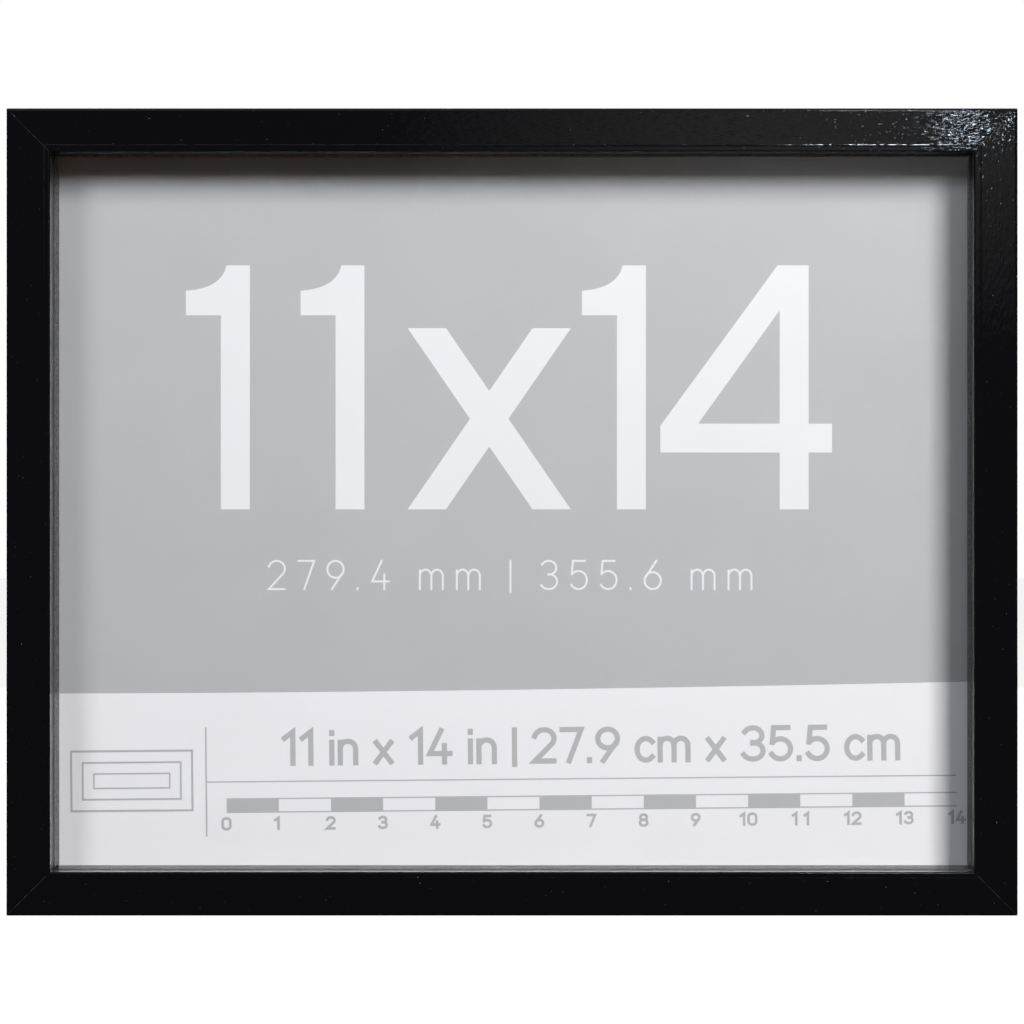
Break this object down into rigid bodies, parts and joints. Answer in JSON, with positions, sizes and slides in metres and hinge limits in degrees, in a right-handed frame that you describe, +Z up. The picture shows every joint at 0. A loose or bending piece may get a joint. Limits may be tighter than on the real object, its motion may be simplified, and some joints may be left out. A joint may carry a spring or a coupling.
{
  "type": "shadow box",
  "caption": "Landscape shadow box: mitred black rails with a deep liner behind glass, and a back held by turn buttons that slides out behind.",
  "frame": {"origin": "on the surface the box stands on, under the middle of its width and of its depth with the hardware on its back", "axes": "+X to the viewer's right along the long rails, +Y from the glass to the back, +Z up"},
  "size_m": [0.378, 0.0412, 0.3018],
  "materials": {
    "rail_lacquer": "gloss black lacquer on wood-fibre moulding, fine grain along the rail",
    "liner_paint": "satin black paint on wood-fibre strip",
    "glass": "clear float glass, seamed edges",
    "printed_paper": "matt coated paper, grey field over a white band",
    "board_cloth": "black linen-weave cloth glued on board",
    "hardboard": "raw brown hardboard, smooth face out",
    "button_steel": "black-oxide steel strip",
    "screw_steel": "zinc plate",
    "v_nail_steel": "plain steel",
    "hanger_brass": "brass-plated steel"
  },
  "bodies": {
    "frame": {"top_rail": "rail_lacquer", "bottom_rail": "rail_lacquer", "left_stile": "rail_lacquer", "right_stile": "rail_lacquer", "glass_pane": "glass", "liner_top": "liner_paint", "liner_bottom": "liner_paint", "liner_left": "liner_paint", "liner_right": "liner_paint", "v_nail_bottom_corner_outer": "v_nail_steel", "v_nail_bottom_corner_inner": "v_nail_steel", "v_nail_right_corner_outer": "v_nail_steel", "v_nail_right_corner_inner": "v_nail_steel", "v_nail_top_corner_outer": "v_nail_steel", "v_nail_top_corner_inner": "v_nail_steel", "v_nail_left_corner_outer": "v_nail_steel", "v_nail_left_corner_inner": "v_nail_steel", "button_screw_bottom_1": "screw_steel", "button_screw_bottom_2": "screw_steel", "button_screw_right_1": "screw_steel", "button_screw_right_2": "screw_steel", "button_screw_top_1": "screw_steel", "button_screw_top_2": "screw_steel", "button_screw_left_1": "screw_steel", "button_screw_left_2": "screw_steel", "landscape_hanger": "hanger_brass", "landscape_hanger_pin_1": "hanger_brass", "landscape_hanger_pin_2": "hanger_brass", "portrait_hanger": "hanger_brass", "portrait_hanger_pin_1": "hanger_brass", "portrait_hanger_pin_2": "hanger_brass"},
    "back": {"printed_sheet": "printed_paper", "display_board": "board_cloth", "backing_panel": "hardboard"},
    "turn_button_bottom_1": {"turn_button_bottom_1": "button_steel"},
    "turn_button_bottom_2": {"turn_button_bottom_2": "button_steel"},
    "turn_button_top_1": {"turn_button_top_1": "button_steel"},
    "turn_button_top_2": {"turn_button_top_2": "button_steel"},
    "turn_button_right_1": {"turn_button_right_1": "button_steel"},
    "turn_button_right_2": {"turn_button_right_2": "button_steel"},
    "turn_button_left_1": {"turn_button_left_1": "button_steel"},
    "turn_button_left_2": {"turn_button_left_2": "button_steel"}
  },
  "joints": [
    {"name": "back_slide", "type": "slide", "parent": "frame", "child": "back", "axis": [0, 1, 0], "range_m": [0, 0.06]},
    {"name": "button_turn_bottom_1", "type": "hinge", "parent": "frame", "child": "turn_button_bottom_1", "pos_m": [-0.105, 0.0182, 0.0052], "axis": [0, 1, 0], "range_deg": [-90, 0]},
    {"name": "button_turn_bottom_2", "type": "hinge", "parent": "frame", "child": "turn_button_bottom_2", "pos_m": [0.105, 0.0182, 0.0052], "axis": [0, -1, 0], "range_deg": [-90, 0]},
    {"name": "button_turn_top_1", "type": "hinge", "parent": "frame", "child": "turn_button_top_1", "pos_m": [0.105, 0.0182, 0.2966], "axis": [0, 1, 0], "range_deg": [-90, 0]},
    {"name": "button_turn_top_2", "type": "hinge", "parent": "frame", "child": "turn_button_top_2", "pos_m": [-0.105, 0.0182, 0.2966], "axis": [0, -1, 0], "range_deg": [-90, 0]},
    {"name": "button_turn_right_1", "type": "hinge", "parent": "frame", "child": "turn_button_right_1", "pos_m": [0.1838, 0.0182, 0.0789], "axis": [0, 1, 0], "range_deg": [-90, 0]},
    {"name": "button_turn_right_2", "type": "hinge", "parent": "frame", "child": "turn_button_right_2", "pos_m": [0.1838, 0.0182, 0.2229], "axis": [0, -1, 0], "range_deg": [-90, 0]},
    {"name": "button_turn_left_1", "type": "hinge", "parent": "frame", "child": "turn_button_left_1", "pos_m": [-0.1838, 0.0182, 0.2229], "axis": [0, 1, 0], "range_deg": [-90, 0]},
    {"name": "button_turn_left_2", "type": "hinge", "parent": "frame", "child": "turn_button_left_2", "pos_m": [-0.1838, 0.0182, 0.0789], "axis": [0, -1, 0], "range_deg": [-90, 0]}
  ]
}
